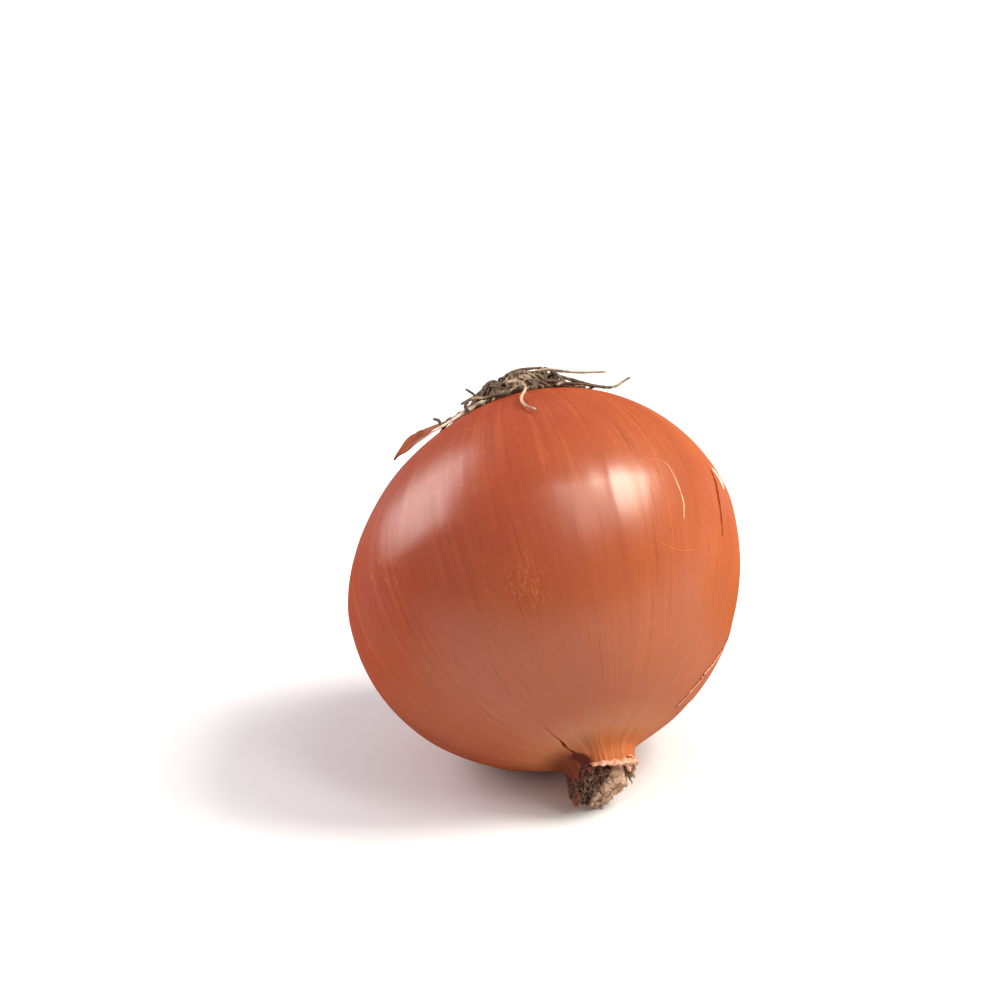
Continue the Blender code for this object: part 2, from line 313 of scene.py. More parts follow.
def skin_colours(skin):
    """Orange-brown skin: red-brown and orange bands along the grain, with veins, nerves, dashes and flecks.
    The noises it is made of come first, so that gloss and relief can follow them, and the colour last."""
    grain = skin.mark("grain", vector=True)
    place = skin.place()
    clouds = place.noise((42, 42, 42), 4, 0.6)
    bands = grain.noise((4.5, 4.5, 0.7), 3, 0.6)
    veins = grain.noise((30, 30, 0.8), 2)
    hairs = grain.noise((95, 95, 2.2), 3, 0.6)
    # Tone follows side, from red-brown on the -X flank to orange on the +X flank. It is partly the skin's own
    # colour and partly painted shade on the flank turned away from the key light.
    side = grain.part("X") * 0.5 + 0.5
    # Darker towards the root end: painted shade.
    rootward_shade = grain.part("Z").between(-0.15, -0.75)
    tone = side * 0.75 + bands * 0.60 + clouds * 0.50 - 0.54 - rootward_shade * 0.16
    colour = tone.between(0.0, 1.0).mix(RED_BROWN, ORANGE)
    colour = (veins.between(0.45, 0.75) * clouds.between(0.3, 0.7) * 0.20).mix(colour, PALE_VEIN)
    nerves = abs(grain.noise((16, 16, 0.5), 1) - 0.5).between(0.018, 0.0)
    lines = (nerves * 0.24 + hairs.between(0.54, 0.74) * 0.20) * clouds.between(0.3, 0.6)
    colour = lines.mix(colour, DARK_NERVE)
    dashes = grain.noise((80, 80, 17), 1).between(0.69, 0.77) * 0.42
    colour = dashes.mix(colour, BROWN_DASH)
    flecks = place.noise((850, 850, 850), 3, 0.6).between(0.56, 0.72) * clouds.between(0.42, 0.66)
    colour = (flecks * 0.22).mix(colour, TAN_FLECK)
    return grain, place, clouds, bands, veins, hairs, colour


def waxy(start):
    """The share of the gloss that is kept: all of it face on, and less where the skin turns away."""
    away = start.node("ShaderNodeLayerWeight", None, {"Blend": 0.5}, 1)
    return 1 - away.between(0.45, 0.95) * WAX_LOSS


WAX = {"Specular IOR Level": 0.0, "Coat IOR": 2.0}       # all of the gloss comes from the waxy coat
skin_finish, skin = new_finish("dry_skin", {**WAX, "Coat Roughness": 0.32})
grain, place, clouds, bands, veins, hairs, colour = skin_colours(skin)
sleeve = skin.mark("sleeve")
up_neck = grain.part("Z")
shoulder = up_neck.between(0.05, 0.60)
flare = up_neck.between(0.86, 1.0)
foot = up_neck.between(0.950, 1.010)        # the collar's foot, and the collar above it
olive = flare * grain.noise((9, 9, 7), 2).between(0.55, 0.70)
dark_lobe = foot * grain.part("X").between(-0.62, -0.88)
colour = (shoulder * 0.45).mix(colour, (0.35, 0.086, 0.021))
colour = (flare * 0.50).mix(colour, (0.52, 0.20, 0.075))
colour = (olive * 0.26).mix(colour, (0.27, 0.14, 0.045))
colour = (foot * 0.70).mix(colour, (0.54, 0.155, 0.052))
colour = (foot * veins.between(0.50, 0.66) * 0.40).mix(colour, (0.68, 0.27, 0.12))
colour = (foot * hairs.between(0.48, 0.62) * 0.80).mix(colour, (0.22, 0.050, 0.018))
brown = place.near(skin_point(0.0407, radians(120)), 0.0052) * bands.between(0.25, 0.6)
colour = (brown * 0.6).mix(colour, (0.22, 0.095, 0.036))
colour = (sleeve.between(0.80, 0.98) * 0.6).mix(colour, (0.62, 0.28, 0.17))
colour = (dark_lobe * 0.88).mix(colour, (0.105, 0.024, 0.013))
# Darker down the inside of the collar towards the well: painted shade.
colour = sleeve.between(1.02, 1.25).mix(colour, (0.12, 0.045, 0.035))
notch_damp = place.near(neck_point(NECK_RADIUS, 0.0014, radians(132)), 0.0026)
crack_damp = place.near(skin_point(0.0416, radians(141)), 0.0022)
stain = (notch_damp + crack_damp + hairs * 1.1 + bands * 0.5 - 0.80).between(0.05, 0.60)
colour = (stain * 0.94).mix(colour, (0.070, 0.014, 0.013))
scuff = place.near(skin_point(0.0154, radians(115)), 0.0085)
scratches = grain.noise((150, 150, 44), 3, 0.6).between(0.55, 0.66) * scuff * 0.34
colour = scratches.mix(colour, (0.66, 0.30, 0.17))
gloss = 0.42 + clouds * 0.10 + veins * 0.08 + sleeve.between(0.0, 0.4) * 0.2
coat = 0.60 - shoulder * 0.10 - bands * 0.16 - veins * 0.06 - foot * 0.32 - scuff * 0.10
left_rub = place.near(skin_point(0.0050, radians(166)), 0.030)
right_rub = place.near(skin_point(0.0170, radians(33)), 0.024)
rubbed = (left_rub + right_rub).between(0.0, 0.8)
coat = coat * waxy(skin) * (1 - rubbed * 0.62) * (1 - stain * 0.8)
ribbing = veins * 0.7 + hairs * 0.30 + clouds * 0.2 + scratches * 0.5
feed(skin_finish, colour=colour, roughness=gloss, coat=coat, relief=(ribbing, 0.00007))


def collar_rim(turn):
    """Height of the torn rim: the collar's length with a slow wander and fine tears, less a flat notch."""
    slow = 0.5 * np.cos(2 * turn + 1) + 0.3 * np.cos(5 * turn) + 0.2 * np.cos(11 * turn)
    fine = 0.025 * np.cos(23 * turn + 1) + 0.015 * np.cos(41 * turn) + 0.012 * np.cos(67 * turn + 2)
    notch = np.exp(-((turn - NOTCH_TURN) / NOTCH_WIDTH) ** 4)
    return COLLAR_LENGTH * (1 + COLLAR_TEAR * slow + fine) * (1 - NOTCH_DEPTH * notch)


def collar_folds(turn):
    """How far the collar's folds go in and out, between -1 and 1."""
    return 0.6 * np.cos(7 * turn) + 0.4 * np.cos(3 * turn + 2)


def collar_radius(climb, turn):
    """The collar's radius: the oval neck at its foot, then folds that deepen up to the rim."""
    pleats = 0.010 * np.cos(29 * turn + 2 * np.cos(3 * turn)) + 0.006 * np.cos(47 * turn)
    taper = 0.10 * np.clip(np.cos(turn - radians(205)), 0, 1) + 0.04
    oval = OVALITY * np.sin(2 * turn) * (1 - climb)
    return NECK_RADIUS * (1 - oval + climb * (COLLAR_FOLD * collar_folds(turn) + pleats - taper * climb))


root_rows = -ROOT_HEIGHT * np.cos(np.linspace(0, pi / 2, BODY_ROOT_ROWS + 1)[1:])
neck_rows = NECK_END * np.sin(np.linspace(0, NECK_ROWS_TURN, BODY_NECK_ROWS + 1)[1:]) / sin(NECK_ROWS_TURN)
side_turns = np.arange(SKIN_SIDES) * (2 * pi / SKIN_SIDES)
height, turn = np.meshgrid(np.concatenate([root_rows, neck_rows]), side_turns, indexing="ij")
body = skin_point(height, turn)
climb, around = np.meshgrid(np.linspace(0, 1, COLLAR_ROWS + 1)[1:], side_turns, indexing="ij")
outside = neck_point(collar_radius(climb, around), climb * collar_rim(around), around)
inside = neck_point(collar_radius(climb, around) - COLLAR_WALL, climb * collar_rim(around), around)[::-1]
well = neck_point(np.array([[0.8], [0.4]]) * NECK_RADIUS, 0.0001, side_turns)
rings = np.concatenate([body, outside, inside, well])
low, high = len(body) - CORNER_ROWS[0], len(body) + CORNER_ROWS[1]
for _ in range(CORNER_PASSES):
    rings[low:high] = (rings[low - 1:high - 1] + 2 * rings[low:high] + rings[low + 1:high + 1]) / 4
ring_sleeve = np.concatenate([np.zeros(len(height)), climb[:, 0], 1 + 0.5 * (1 - climb[::-1, 0]), [1.5, 1.5]])
ring_height = np.concatenate([height[:, 0], NECK_END + climb[:, 0] * COLLAR_LENGTH,
                              NECK_END + climb[::-1, 0] * COLLAR_LENGTH, [NECK_END, NECK_END]])
outer_rows = len(body) + len(outside)
skin_rings, skin_heights = rings[:outer_rows], ring_height[:outer_rows]     # marks are laid on these later
poles = (smooth_point(-ROOT_HEIGHT, 0.0), neck_point(0.0, 0.0001, 0.0))
points, faces = capped_rings(rings, poles)
grain_rows = skin_grain(*np.meshgrid(ring_height, side_turns, indexing="ij")).reshape(-1, 3)
grain_marks = np.concatenate([grain_rows, [[0, 0, -0.85], [0, 0, 1]]])
sleeve_marks = np.concatenate([np.repeat(ring_sleeve, SKIN_SIDES), [0, 1.5]])
make_piece("outer_skin", points, faces, skin_finish,
           {"grain": grain_marks, "sleeve": sleeve_marks}, replaces=("bulb", "neck_collar"))

# ---------------------------------------------------------------------------------------------------
# Skin damage. The outermost skin is brittle: it has split in three places, is scratched and creased, and
# the lips of a split stand a little proud. Each mark is a narrow closed welt, let into the skin.
# ---------------------------------------------------------------------------------------------------
MARK_STEPS = 64
# Each profile is a closed outline: sideways share of half the width, and height over the skin in mm.
CRACK_PROFILE = ((-1, -0.12), (-0.8, 0.02), (-0.45, 0.10), (-0.25, 0.09), (0, 0.015), (0.25, 0.09),
                 (0.45, 0.10), (0.8, 0.02), (1, -0.12), (0, -0.20))
WELT_PROFILE = ((-1, -0.10), (-0.7, 0.01), (-0.35, 0.04), (0, 0.055), (0.35, 0.04), (0.7, 0.01),
                (1, -0.10), (0, -0.15))
SLIVER_PROFILE = ((-1, -0.10), (-0.90, 0.04), (-0.72, 0.28), (-0.45, 0.32), (0, 0.24), (0.6, 0.08),
                  (1, -0.10), (0, -0.15))


def over_skin(height, turn, lift):
    """A point over the skin as it was meshed, corner at the neck and all: the mesh's own grid read between
    its four nearest points, and raised as the smooth bulb would be."""
    row = np.clip(np.interp(height, skin_heights, np.arange(len(skin_heights))), 0, len(skin_heights) - 1.001)
    column = turn / (2 * pi) * SKIN_SIDES
    low, left = row.astype(int), np.floor(column).astype(int)
    up, on = (row - low)[..., None], (column - left)[..., None]
    left, right = left % SKIN_SIDES, (left + 1) % SKIN_SIDES
    near = skin_rings[low, left] * (1 - on) + skin_rings[low, right] * on
    far = skin_rings[low + 1, left] * (1 - on) + skin_rings[low + 1, right] * on
    return near * (1 - up) + far * up + smooth_point(height, turn, lift) - smooth_point(height, turn)


def lay_mark(name, route, width, profile, finish, widen=0.0, uneven=0.28):
    """A mark let into the skin: a closed profile carried along a route of (height in mm, turn in degrees).
    Width and lift swell from nothing, come and go by the uneven share, and die out again at the far end; a
    mark that widens grows by that share towards it."""
    route = np.array(route, float) * (0.001, pi / 180)
    steps = np.linspace(0, len(route) - 1, MARK_STEPS)
    path = np.stack([np.interp(steps, np.arange(len(route)), axis) for axis in route.T], axis=-1)
    soft = np.array([1, 4, 6, 4, 1]) / 16
    for _ in range(3):
        path[2:-2] = np.stack([np.convolve(axis, soft, "valid") for axis in path.T], axis=-1)
    size = bulb_radius(path[:, 0], 0.0)
    ahead = np.gradient(path * np.stack([np.ones_like(size), size], axis=-1), axis=0)
    ahead /= np.linalg.norm(ahead, axis=-1, keepdims=True)
    aside, lift = np.array(profile).T
    swell = np.sin(pi * np.linspace(0.03, 0.97, MARK_STEPS)) ** 0.5
    steps = np.linspace(0, 1, MARK_STEPS)
    wander = 1 + uneven * crumple(steps[:, None], 0.16, int(1e5 * abs(route[0, 0])), 8)
    swell = swell * wander.clip(0.3) * (1 + widen * (steps - 0.5))
    out = aside[None] * (swell * width / 2)[:, None]
    height = path[:, :1] - ahead[:, 1:] * out
    turn = path[:, 1:] + ahead[:, :1] * out / size[:, None]
    raised = np.where(lift > 0, lift * swell[:, None], lift) * 0.001
    points, faces = capped_rings(over_skin(height, turn, raised))
    grain = skin_grain(height, turn).reshape(-1, 3)
    from_middle = np.abs(np.broadcast_to(aside, out.shape)).ravel()
    marks = {"grain": np.concatenate([grain, grain[:1], grain[-1:]]),
             "aside": np.concatenate([from_middle, [1.0, 1.0]])}
    make_piece(name, points, faces, finish, marks)


def mark_finish(name, core, lip, opening=0.30):
    """Skin that turns to the core colour as far out as the opening, and to the lip colour on its lips."""
    finish, start = new_finish(name, {"Specular IOR Level": 0.0})
    _, _, _, bands, _, hairs, colour = skin_colours(start)
    aside = start.mark("aside")
    lips = aside.between(0.1, 0.4) * (1 - aside.between(0.5, 0.95)) * 0.7
    colour = lips.mix(colour, lip)
    colour = aside.between(opening, opening / 4).mix(colour, core)
    feed(finish, colour=colour, roughness=0.45 + bands * 0.15, relief=(hairs, 0.00004))
    return finish


crack_finish = mark_finish("split_skin", (0.110, 0.016, 0.009), (0.27, 0.052, 0.018), 0.55)
neck_crack_finish = mark_finish("split_neck_skin", (0.090, 0.022, 0.012), (0.18, 0.045, 0.020), 1.1)
scratch_finish = mark_finish("scratched_skin", (0.82, 0.50, 0.30), (0.58, 0.19, 0.070), 0.75)
crease_finish = mark_finish("creased_skin", (0.53, 0.155, 0.060), (0.42, 0.095, 0.027), 0.50)
# The sliver's pale core and lips are a painted highlight on a peeled edge.
sliver_highlight_finish = mark_finish("sliver_painted_highlight", (0.74, 0.62, 0.52), (0.62, 0.42, 0.30), 1.6)
lay_mark("neck_crack", [(35.9, 133.2), (37.5, 134), (39.0, 135.4), (39.8, 135), (40.7, 138.5), (41.6, 138.5),
                        (42.1, 138.2)], 0.0010, CRACK_PROFILE, neck_crack_finish, widen=1.1)
lay_mark("flank_crack", [(-4.2, 39.0), (-3.0, 39.0), (-0.4, 39.6), (1.8, 40.2), (6.0, 40.6), (10.8, 41.0)],
         0.0017, CRACK_PROFILE, crack_finish)
lay_mark("back_crack", [(4.0, 236), (9.0, 238), (15.0, 237), (21.0, 240), (26.0, 239)], 0.0011,
         CRACK_PROFILE, crack_finish)
lay_mark("flank_scratch", [(-4.0, 66.5), (-3.2, 64.0), (-1.1, 63.0), (2.7, 61.6), (5.4, 61.0), (8.6, 62.0)],
         0.00046, WELT_PROFILE, scratch_finish, widen=1.75)
lay_mark("flank_crease", [(12.0, 76.0), (13.1, 72.6), (14.3, 68.4), (14.8, 64.2), (14.5, 58.2), (13.7, 51.0)],
         0.00040, WELT_PROFILE, crease_finish)
# A peeled edge standing proud, coloured with a painted highlight.
lay_mark("flank_sliver", [(-4.8, 36.2), (-4.1, 35.4), (-3.0, 33.7), (-2.1, 33.0), (-1.3, 32.4), (-0.4, 32.1)],
         0.0010, SLIVER_PROFILE, sliver_highlight_finish, uneven=0.06)
lay_mark("back_crease", [(-8.0, 292), (-6.5, 300), (-6.8, 309), (-8.5, 316)], 0.0010, WELT_PROFILE,
         crease_finish)

# ---------------------------------------------------------------------------------------------------
# Loose skin. Patches of one more, papery skin that are left on the far flank: they lie on the skin below,
# and their torn edges stand off it and are pale, because they are only one leaf thick.
# ---------------------------------------------------------------------------------------------------
LOOSE_WALL = 0.00013
LOOSE_ROWS, LOOSE_COLUMNS = 90, 44

loose_finish, loose = new_finish("papery_skin", {**WAX, "Coat Roughness": 0.36})
_, _, _, bands, veins, hairs, colour = skin_colours(loose)
edge = loose.mark("edge")
colour = (0.03 + edge.between(0.3, 1.0) * 0.70).mix(colour, (0.80, 0.52, 0.36))
coat = (0.52 - bands * 0.16) * waxy(loose)
relief = (veins + hairs * 0.5, 0.00008)
feed(loose_finish, colour=colour, roughness=0.40 + bands * 0.2, coat=coat, relief=relief)


def unit_grid(rows, columns):
    """Shares from 0 to 1 down the rows, and from 0 to 1 across the columns."""
    return np.meshgrid(np.linspace(0, 1, rows), np.linspace(0, 1, columns), indexing="ij")


def loose_patch(name, heights, free_edge, spread, lift, seed):
    """A patch of papery skin from a free edge (turn in degrees at each height in mm) back over a spread of
    degrees. It lies just proud of the skin, lifts towards the free edge, and its outline is torn."""
    along, across = unit_grid(LOOSE_ROWS, LOOSE_COLUMNS)
    low, high = heights[0] * 0.001, heights[-1] * 0.001
    height = low + (high - low) * along
    reach = spread * (0.04 + 0.96 * np.sin(pi * along) ** 0.8)
    rim = np.interp(height * 1000, heights, free_edge)
    torn = spread / 26 * crumple(along[..., None] * 8, 1.6, seed) * (0.12 + across)
    torn += spread / 90 * crumple(along[..., None] * 8, 0.35, seed + 5)
    turn = np.radians(rim - reach * across + torn)
    tail = (high - low) / 16 * crumple(across[..., None] * 5, 1.3, seed + 1) * (2 * along - 1)
    free = (1 - across) ** 6
    flutter = 0.35 * crumple(np.stack([along * 9, across * 2], axis=-1), 1.0, seed + 2)
    over = 0.00008 + lift * free * (0.8 + flutter)
    ends = 0.5 - np.abs(along - 0.5)
    border = np.minimum(np.minimum(across, 1 - across), ends * 2)
    points = skin_point(height + tail, turn, over)
    marks = {"grain": skin_grain(height + tail, turn).reshape(-1, 3),
             "edge": 1 - np.clip(border * 26, 0, 1).ravel()}
    make_piece(name, points.reshape(-1, 3), grid_faces(LOOSE_ROWS, LOOSE_COLUMNS), loose_finish,
               marks, wall=LOOSE_WALL)


loose_patch("loose_skin_right", (19, 22, 24, 26, 30, 33, 35, 36.8),
            (2, 3.5, 5.5, 7.4, 15.4, 20.8, 21.8, 23.2), 52, 0.00006, 21)
loose_patch("loose_skin_back", (-20, -12, -4, 4, 12, 20), (256, 268, 273, 270, 263, 250), 52, 0.0004, 31)

# ---------------------------------------------------------------------------------------------------
# Neck. The cut-off leaves above the bulb, dried hard: a crumpled plug of inner leaves, dark and fibrous
# on one side and pale and flaky on the other, inside rings of torn leaf bases and the collar's rim.
# ---------------------------------------------------------------------------------------------------
PLUG_RADIUS = 0.0056
PLUG_LENGTH = 0.0056
PLUG_SLANT = 0.32           # the plug is longer on its underside
PLUG_SHIFT = 0.0006
PLUG_SIDES = 150
PLUG_SIDE_ROWS = 16
PLUG_END_ROWS = 40
LEAF_WALL = 0.0003
LEAF_ROWS, LEAF_COLUMNS = 26, 46
RIM_STEPS, RIM_SIDES = 70, 14


def plug_top(x, y):
    """Height of the plug's dried end: slanted, layered by crumpled leaf edges, sunk on its dark side. Also
    gives how dark the place is."""
    spot = np.stack([x, y], axis=-1)
    dark = ease(-x + 0.35 * y, 0.0000, 0.0022)
    wander = crumple(spot, 0.0042, 51)
    layers = np.abs(np.sin(np.hypot(x + 0.002, y + 0.001) * 1500 + 1.9 * wander))
    relief = 0.0007 * layers * (0.4 + 0.6 * dark) + 0.00030 * crumple(spot, 0.0016, 52) * (0.4 + dark)
    ridges = spot @ np.array([1900.0, 2600.0]) + 1.6 * wander + 0.8 * crumple(spot, 0.0018, 54)
    relief += 0.00034 * np.abs(np.sin(ridges)) * (1 - dark) + 0.00010 * crumple(spot, 0.0006, 53, 40)
    return PLUG_LENGTH - PLUG_SLANT * y - 0.0009 * dark + relief, dark


share = np.concatenate([np.ones(PLUG_SIDE_ROWS), np.linspace(1, 0, PLUG_END_ROWS + 1)[1:-1]])
rise = np.concatenate([np.linspace(0, 1, PLUG_SIDE_ROWS), np.ones(PLUG_END_ROWS - 1)])
plug_turns = np.arange(PLUG_SIDES) * (2 * pi / PLUG_SIDES)
share, turn = np.meshgrid(share, plug_turns, indexing="ij")
rise = np.broadcast_to(rise[:, None], share.shape)
outline = 1 + 0.14 * np.cos(turn - radians(205)) + 0.05 * np.cos(5 * turn + 1) + 0.03 * np.cos(11 * turn)
reach = PLUG_RADIUS * outline * share
x, y = reach * np.cos(turn) - PLUG_SHIFT, reach * np.sin(turn)
top, dark = plug_top(x, y)
flutes = 0.00022 * np.cos(17 * turn + 3 * rise) * (share == 1)
radius, bearing = np.hypot(x, y) + flutes, np.arctan2(y, x)
rings = neck_point(radius, 0.0002 + rise * (top - 0.0003 * (share == 1)), bearing)
centre_top, _ = plug_top(np.array(-PLUG_SHIFT), np.array(0.0))
points, faces = capped_rings(rings, (neck_point(0.0, 0.0002, 0.0), neck_point(PLUG_SHIFT, centre_top, pi)))

plug_finish, plug = new_finish("dried_plug", {"Specular IOR Level": 0.25})
# Darker on the plug's -X side, where its end is sunk.
dark_side = plug.mark("dark_side")
place = plug.place()
fibre = place.noise((900, 2600, 1800), 3, 0.6)
flake = place.noise((420, 420, 420), 3, 0.6)
pale = flake.between(0.35, 0.65).mix((0.42, 0.24, 0.15), (0.74, 0.50, 0.35))
pale = (fibre.between(0.54, 0.72) * 0.55).mix(pale, (0.26, 0.13, 0.075))
deep = fibre.between(0.42, 0.66).mix((0.032, 0.011, 0.012), (0.19, 0.085, 0.052))
colour = (dark_side + flake * 0.5 - 0.25).between(0.25, 0.75).mix(pale, deep)
feed(plug_finish, colour=colour, roughness=0.72 + flake * 0.2, relief=(fibre + flake, 0.00022))
make_piece("leaf_plug", points, faces, plug_finish,
           {"dark_side": np.concatenate([dark.ravel(), [0.5, 0.6]])}, replaces=("neck_core",))


def leaf_finish(name, base, tip, vein):
    """Dried leaf: streaked along its length, from the base colour to the torn tip's colour."""
    finish, start = new_finish(name, {"Specular IOR Level": 0.35})
    sheet = start.mark("sheet", vector=True)
    streak = sheet.noise((26, 1.2, 0), 3, 0.6)
    blotch = sheet.noise((5, 4, 0), 3)
    colour = (sheet.part("Y") * 0.9 + blotch * 0.5 - 0.25).between(0.15, 0.95).mix(base, tip)
    colour = (streak.between(0.50, 0.68) * 0.6).mix(colour, vein)
    feed(finish, colour=colour, roughness=0.55 + blotch * 0.25, relief=(streak + blotch * 0.6, 0.00016))
    return finish


def torn_leaf(name, turn, arc, foot, length, radius, curl, finish, seed, replaces=()):
    """A torn leaf base round the neck: an arc of degrees at a radius, from its foot up over its length. It
    narrows and curls out by the square of the way up, is crumpled, and ends in ragged teeth."""
    along, across = np.meshgrid(np.linspace(0, 1, LEAF_ROWS), np.linspace(-1, 1, LEAF_COLUMNS), indexing="ij")
    teeth = 1 - 0.25 * across ** 2 + 0.22 * crumple(across[..., None] * arc / 40, 1.0, seed)
    teeth += 0.10 * crumple(across[..., None] * arc / 40, 0.28, seed + 1)
    around = radians(turn) + across * radians(arc / 2) * (1 - 0.30 * along ** 2)
    fold = 0.00030 * crumple(np.stack([across * arc / 30, along], axis=-1), 1.1, seed + 2) * (0.3 + along)
    rise = foot + length * along * np.clip(teeth, 0.25, 1.5)
    rings = neck_point(radius + curl * along ** 2 + fold, rise, around)
    marks = {"sheet": np.stack([across * arc / 90, along, 0 * along], axis=-1).reshape(-1, 3)}
    make_piece(name, rings.reshape(-1, 3), grid_faces(LEAF_ROWS, LEAF_COLUMNS), finish, marks,
               wall=LEAF_WALL, replaces=replaces)


rim_finish = leaf_finish("pale_leaf_rim", (0.66, 0.27, 0.13), (0.78, 0.47, 0.34), (0.42, 0.13, 0.06))
husk_finish = leaf_finish("brown_leaf_base", (0.27, 0.060, 0.026), (0.23, 0.085, 0.048), (0.11, 0.028, 0.018))
tan_finish = leaf_finish("tan_leaf_base", (0.42, 0.24, 0.14), (0.60, 0.42, 0.29), (0.22, 0.11, 0.06))
torn_leaf("torn_leaf_01", 192, 66, 0.0004, 0.0056, 0.0066, -0.0006, husk_finish, 61, ("neck_scale_01",))
torn_leaf("torn_leaf_02", 258, 80, 0.0006, 0.0062, 0.0060, -0.0004, tan_finish, 62, ("neck_scale_02",))
torn_leaf("torn_leaf_03", 336, 64, 0.0006, 0.0048, 0.0062, 0.0000, tan_finish, 63, ("neck_scale_03",))
torn_leaf("torn_leaf_04", 50, 60, 0.0006, 0.0036, 0.0062, 0.0002, rim_finish, 64, ("neck_scale_04",))
torn_leaf("right_column", 8, 50, 0.0012, 0.0034, 0.0066, -0.0002, tan_finish, 68)
torn_leaf("neck_spike", 214, 26, 0.0030, 0.0042, 0.0060, 0.0010, husk_finish, 69)
torn_leaf("inner_leaf_01", 150, 70, 0.0006, 0.0032, 0.0060, 0.0000, husk_finish, 70)

cuff_finish, cuff = new_finish("folded_rim_skin", {"Specular IOR Level": 0.35})
sheet = cuff.mark("sheet", vector=True)
blotch = sheet.noise((5, 2.2, 0), 3)
streak = sheet.noise((1.5, 30, 0), 3, 0.6)
colour = blotch.between(0.35, 0.65).mix((0.60, 0.26, 0.14), (0.80, 0.50, 0.38))
colour = (streak.between(0.52, 0.70) * 0.5).mix(colour, (0.40, 0.13, 0.07))
feed(cuff_finish, colour=colour, roughness=0.5 + blotch * 0.25, relief=(streak + blotch * 0.5, 0.00014))


def rolled_rim(name, start, end, heights, tall, thick, out, seed):
    """A torn edge that dried folded over on itself: a flat oval, fuller at its fold and leaning outwards,
    carried round the neck from one turn to another (degrees) at heights (mm, evenly spread). It thins to
    nothing at both ends."""
    steps = np.linspace(0, 1, RIM_STEPS)
    wander = [crumple(steps[:, None], pitch, seed + i, 8) for i, pitch in enumerate((0.30, 0.24, 0.25))]
    swell = np.sin(pi * np.linspace(0.015, 0.985, RIM_STEPS)) ** 0.45 * (1 + 0.20 * wander[0])
    turn = np.radians(start + (end - start) * steps)
    height = np.interp(steps, np.linspace(0, 1, len(heights)), heights) * 0.001 + 0.00016 * wander[1]
    radius = NECK_RADIUS * (0.965 + COLLAR_FOLD * collar_folds(turn)) + out + 0.00014 * wander[2]
    angle = np.arange(RIM_SIDES) * (2 * pi / RIM_SIDES)
    rise = np.sin(angle) * tall / 2
    aside = np.cos(angle) * thick / 2 * (1 + 0.35 * np.sin(angle)) + 0.35 * rise
    rings = neck_point(radius[:, None] + swell[:, None] * aside, height[:, None] + swell[:, None] * rise,
                       turn[:, None] + 0 * angle)
    points, faces = capped_rings(rings)
    length = steps[:, None] * abs(end - start) / 40
    sheet = np.stack(np.broadcast_arrays(angle / pi * 0.3, length, 0.0), axis=-1).reshape(-1, 3)
    marks = {"sheet": np.concatenate([sheet, sheet[:1], sheet[-1:]])}
    make_piece(name, points, faces, cuff_finish, marks)


rolled_rim("folded_rim_01", 126, 58, (1.9, 2.9, 3.3, 3.2), 0.0013, 0.0008, 0.00000, 65)
rolled_rim("folded_rim_02", 96, 22, (3.3, 3.7, 3.4, 2.9), 0.0012, 0.0007, 0.00030, 66)
rolled_rim("folded_rim_03", 60, -30, (2.6, 2.9, 2.5, 2.4), 0.0012, 0.0006, 0.00025, 67)
rolled_rim("folded_rim_04", 306, 214, (3.2, 3.0, 3.4, 3.1), 0.0011, 0.0006, 0.00010, 71)


def strand_mesh(paths, radii, sides):
    """Tubes along many paths at once (strands x steps x 3): at each step a ring of points in the plane of
    two vectors across the path, of that step's radius, and a fan at each end."""
    strands, steps = paths.shape[:2]
    ahead = np.gradient(paths, axis=1)
    ahead /= np.linalg.norm(ahead, axis=-1, keepdims=True)
    aside = np.cross(ahead, np.array([0.12, 0.07, 0.99]))
    aside /= np.linalg.norm(aside, axis=-1, keepdims=True)
    over = np.cross(ahead, aside)
    angle = np.arange(sides) * (2 * pi / sides)
    ring = aside[:, :, None] * np.cos(angle)[:, None] + over[:, :, None] * np.sin(angle)[:, None]
    rings = paths[:, :, None] + ring * radii[:, :, None, None]
    each = steps * sides + 2
    points = np.concatenate([rings.reshape(strands, -1, 3), paths[:, :1], paths[:, -1:]], axis=1)
    one = grid_faces(steps, sides, loop=True)
    side = np.arange(sides)
    beside, start = (side + 1) % sides, each - 2
    fans = [np.stack([0 * side + start, beside, side], axis=-1),
            np.stack([0 * side + start + 1, start - sides + side, start - sides + beside], axis=-1)]
    shift = np.arange(strands)[:, None, None] * each
    quads = (one + shift).reshape(-1, 4).tolist()
    tips = (np.concatenate(fans) + shift).reshape(-1, 3).tolist()
    return points.reshape(-1, 3), quads + tips


fibre_finish, dried = new_finish("dried_fibre", {"Specular IOR Level": 0.3})
place = dried.place()
blotch = place.noise((700, 700, 700), 2)
colour = blotch.between(0.35, 0.65).mix((0.10, 0.042, 0.034), (0.38, 0.235, 0.145))
feed(fibre_finish, colour=colour, roughness=0.7 + blotch * 0.2)

FIBRES, FIBRE_STEPS = 70, 12
FIBRE_REACH = 0.0058        # no fibre runs further from the plug's middle

draw = np.random.default_rng(7)
along = np.linspace(0, 1, FIBRE_STEPS)
start_x, start_y = draw.uniform(-0.0056, 0.0012, (FIBRES, 1)), draw.uniform(-0.0048, 0.0044, (FIBRES, 1))
heading = draw.uniform(0, 2 * pi, (FIBRES, 1)) + draw.uniform(-2.2, 2.2, (FIBRES, 1)) * along
stride = draw.uniform(0.0012, 0.0034, (FIBRES, 1)) / FIBRE_STEPS
x = start_x + np.cumsum(np.cos(heading), axis=1) * stride
y = start_y + np.cumsum(np.sin(heading), axis=1) * stride
inward = np.minimum(1, FIBRE_REACH / np.hypot(x, y))
x, y = x * inward, y * inward
lift = draw.uniform(0.0001, 0.0009, (FIBRES, 1)) * np.sin(pi * along) - 0.0001
paths = neck_point(np.hypot(x, y), plug_top(x, y)[0] + lift, np.arctan2(y, x))
radii = draw.uniform(0.00007, 0.00017, (FIBRES, 1)) * (1 - 0.5 * along)
points, faces = strand_mesh(paths, radii, 5)
make_piece("plug_fibres", points, faces, fibre_finish)

